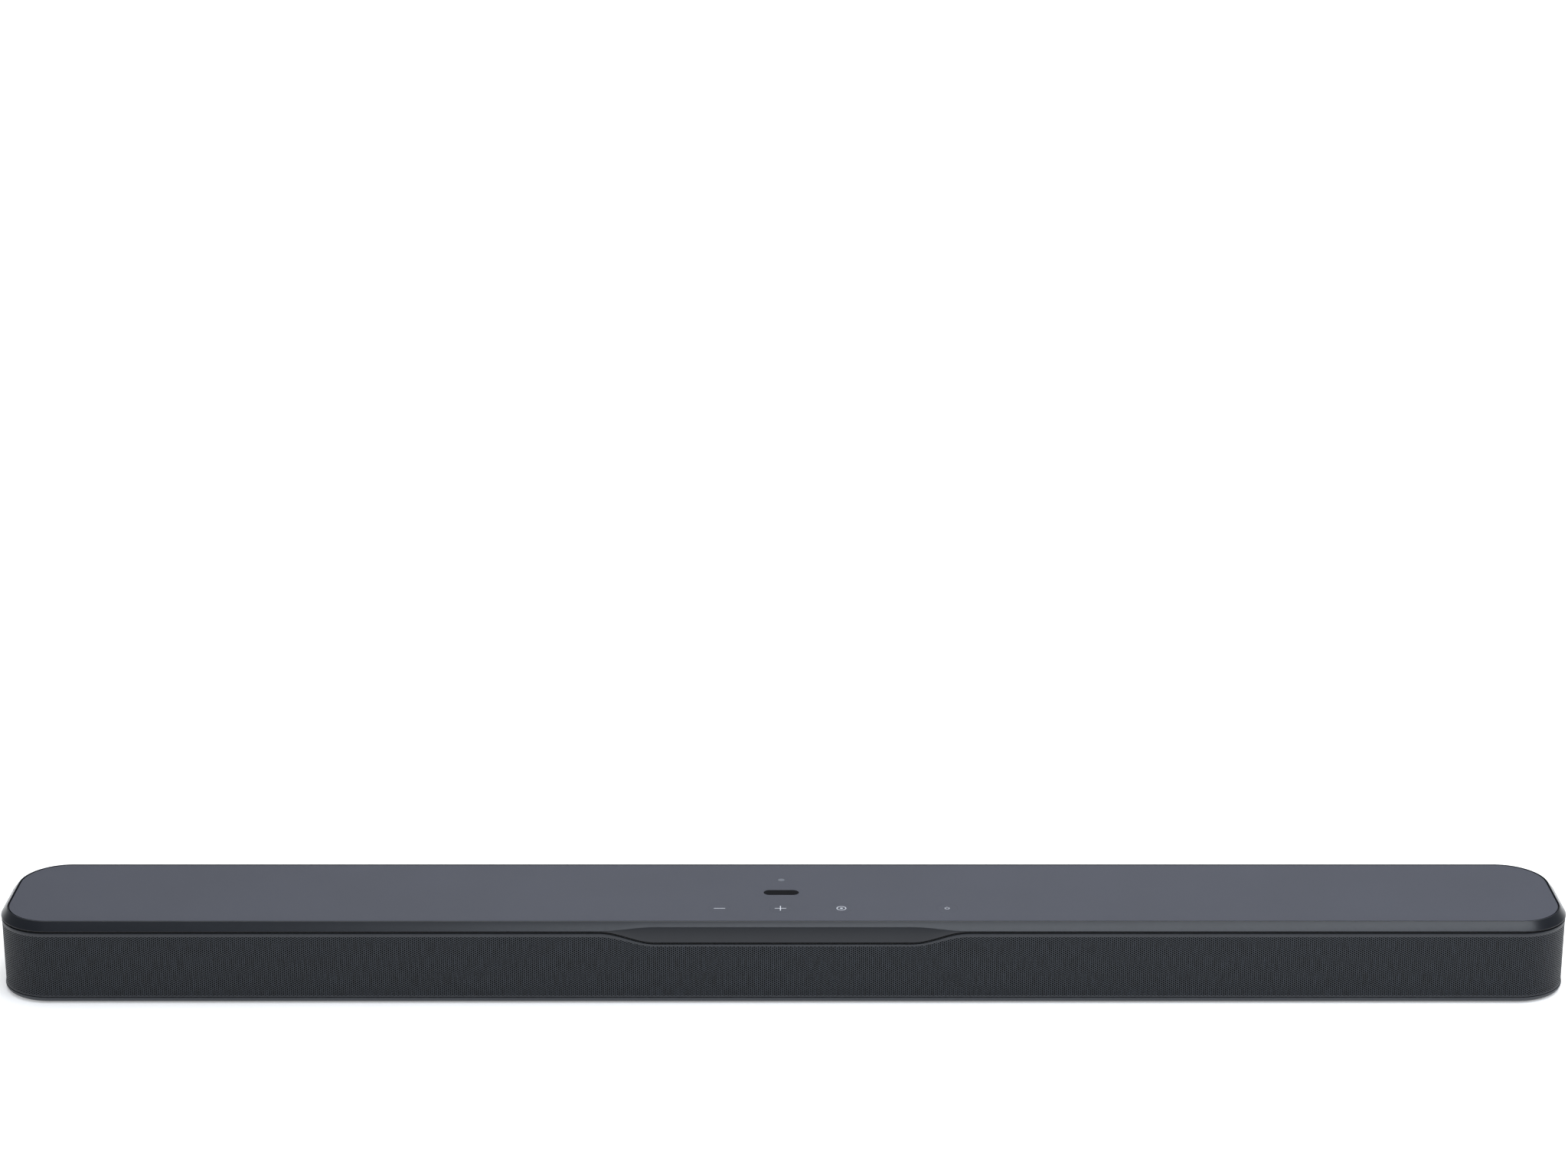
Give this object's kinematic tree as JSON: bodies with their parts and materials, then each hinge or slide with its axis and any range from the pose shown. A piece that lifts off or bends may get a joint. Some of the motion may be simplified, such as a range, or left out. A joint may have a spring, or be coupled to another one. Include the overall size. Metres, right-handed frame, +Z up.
{
  "type": "soundbar",
  "caption": "Slim television soundbar with rounded ends, a wrap-round perforated grille, a chamfered rim with a dipped front lip, and flush top keys.",
  "frame": {"origin": "middle of the bar, at the level its rubber feet stand on", "axes": "+X along the bar to the right of a listener who faces it, -Y towards the listener, +Z up"},
  "size_m": [1.017, 0.1036, 0.056],
  "materials": {
    "panel": "fine moulded texture, dark grey",
    "rim": "satin to semi-gloss, dark grey",
    "grille": "perforated sheet, matt paint",
    "housing": "moulded, fine texture",
    "moulding": "moulded",
    "rubber": "matt",
    "cone": "coated paper pulp",
    "dome": "doped silk",
    "plated_steel": "zinc or nickel plated pressing",
    "ferrite": "sintered ferrite",
    "circuit": "solder resist on glass epoxy",
    "heat_sink": "bare extrusion",
    "tape": "polyester tape wrap",
    "sleeve": "PVC sleeve",
    "brass": "turned",
    "light": "diffusing light pipe",
    "badge": "blank inlay",
    "ribbon": "flat flexible cable"
  },
  "bodies": {
    "cabinet": {"blank_badge": "badge", "ethernet_socket": "plated_steel", "filter_capacitor": "sleeve", "foot_front_left": "rubber", "foot_front_right": "rubber", "foot_rear_left": "rubber", "foot_rear_right": "rubber", "front_baffle": "moulding", "front_grille": "grille", "grille_frame": "moulding", "hdmi_arc_socket": "plated_steel", "hdmi_in_socket": "plated_steel", "heat_sink": "heat_sink", "inner_shell": "moulding", "key_board": "circuit", "key_ribbon": "ribbon", "lower_housing": "housing", "main_board": "circuit", "optical_socket": "moulding", "power_bezel": "housing", "power_board": "circuit", "power_inlet": "moulding", "power_transformer": "tape", "rear_panel": "housing", "signal_bezel": "housing", "speaker_lead_left": "sleeve", "speaker_lead_right": "sleeve", "status_light_pipe": "light", "top_panel": "panel", "tweeter_body_centre": "moulding", "tweeter_body_left": "moulding", "tweeter_body_right": "moulding", "upper_housing": "rim", "usb_socket": "plated_steel", "wall_insert_left": "brass", "wall_insert_right": "brass", "woofer_basket_inner_left": "plated_steel", "woofer_basket_inner_right": "plated_steel", "woofer_basket_outer_left": "plated_steel", "woofer_basket_outer_right": "plated_steel", "woofer_magnet_inner_left": "ferrite", "woofer_magnet_inner_right": "ferrite", "woofer_magnet_outer_left": "ferrite", "woofer_magnet_outer_right": "ferrite", "woofer_surround_inner_left": "rubber", "woofer_surround_inner_right": "rubber", "woofer_surround_outer_left": "rubber", "woofer_surround_outer_right": "rubber"},
    "key_minus": {"key_minus": "panel"},
    "key_plus": {"key_plus": "panel"},
    "key_source": {"key_source": "panel"},
    "key_power": {"key_power": "panel"},
    "woofer_cone_outer_left": {"woofer_cone_outer_left": "cone"},
    "woofer_cone_inner_left": {"woofer_cone_inner_left": "cone"},
    "woofer_cone_inner_right": {"woofer_cone_inner_right": "cone"},
    "woofer_cone_outer_right": {"woofer_cone_outer_right": "cone"},
    "tweeter_dome_left": {"tweeter_dome_left": "dome"},
    "tweeter_dome_centre": {"tweeter_dome_centre": "dome"},
    "tweeter_dome_right": {"tweeter_dome_right": "dome"},
    "optical_shutter": {"optical_shutter": "moulding"}
  },
  "joints": [
    {"name": "key_minus_press", "type": "slide", "parent": "cabinet", "child": "key_minus", "axis": [0, 0, -1], "range_m": [0, 0.0003], "stiffness_N_per_m": 1500},
    {"name": "key_plus_press", "type": "slide", "parent": "cabinet", "child": "key_plus", "axis": [0, 0, -1], "range_m": [0, 0.0003], "stiffness_N_per_m": 1500},
    {"name": "key_source_press", "type": "slide", "parent": "cabinet", "child": "key_source", "axis": [0, 0, -1], "range_m": [0, 0.0003], "stiffness_N_per_m": 1500},
    {"name": "key_power_press", "type": "slide", "parent": "cabinet", "child": "key_power", "axis": [0, 0, -1], "range_m": [0, 0.0003], "stiffness_N_per_m": 1500},
    {"name": "woofer_outer_left_stroke", "type": "slide", "parent": "cabinet", "child": "woofer_cone_outer_left", "axis": [0, -1, 0], "range_m": [-0.0025, 0.0025], "stiffness_N_per_m": 1200},
    {"name": "woofer_inner_left_stroke", "type": "slide", "parent": "cabinet", "child": "woofer_cone_inner_left", "axis": [0, -1, 0], "range_m": [-0.0025, 0.0025], "stiffness_N_per_m": 1200},
    {"name": "woofer_inner_right_stroke", "type": "slide", "parent": "cabinet", "child": "woofer_cone_inner_right", "axis": [0, -1, 0], "range_m": [-0.0025, 0.0025], "stiffness_N_per_m": 1200},
    {"name": "woofer_outer_right_stroke", "type": "slide", "parent": "cabinet", "child": "woofer_cone_outer_right", "axis": [0, -1, 0], "range_m": [-0.0025, 0.0025], "stiffness_N_per_m": 1200},
    {"name": "tweeter_left_stroke", "type": "slide", "parent": "cabinet", "child": "tweeter_dome_left", "axis": [0, -1, 0], "range_m": [-0.0003, 0.0003], "stiffness_N_per_m": 2000},
    {"name": "tweeter_centre_stroke", "type": "slide", "parent": "cabinet", "child": "tweeter_dome_centre", "axis": [0, -1, 0], "range_m": [-0.0003, 0.0003], "stiffness_N_per_m": 2000},
    {"name": "tweeter_right_stroke", "type": "slide", "parent": "cabinet", "child": "tweeter_dome_right", "axis": [0, -1, 0], "range_m": [-0.0003, 0.0003], "stiffness_N_per_m": 2000},
    {"name": "optical_shutter_swing", "type": "hinge", "parent": "cabinet", "child": "optical_shutter", "pos_m": [0.134, 0.0306, 0.0249], "axis": [-1, 0, 0], "range_deg": [0, 80], "stiffness_Nm_per_rad": 0.0002, "springref_deg": -17.19}
  ]
}
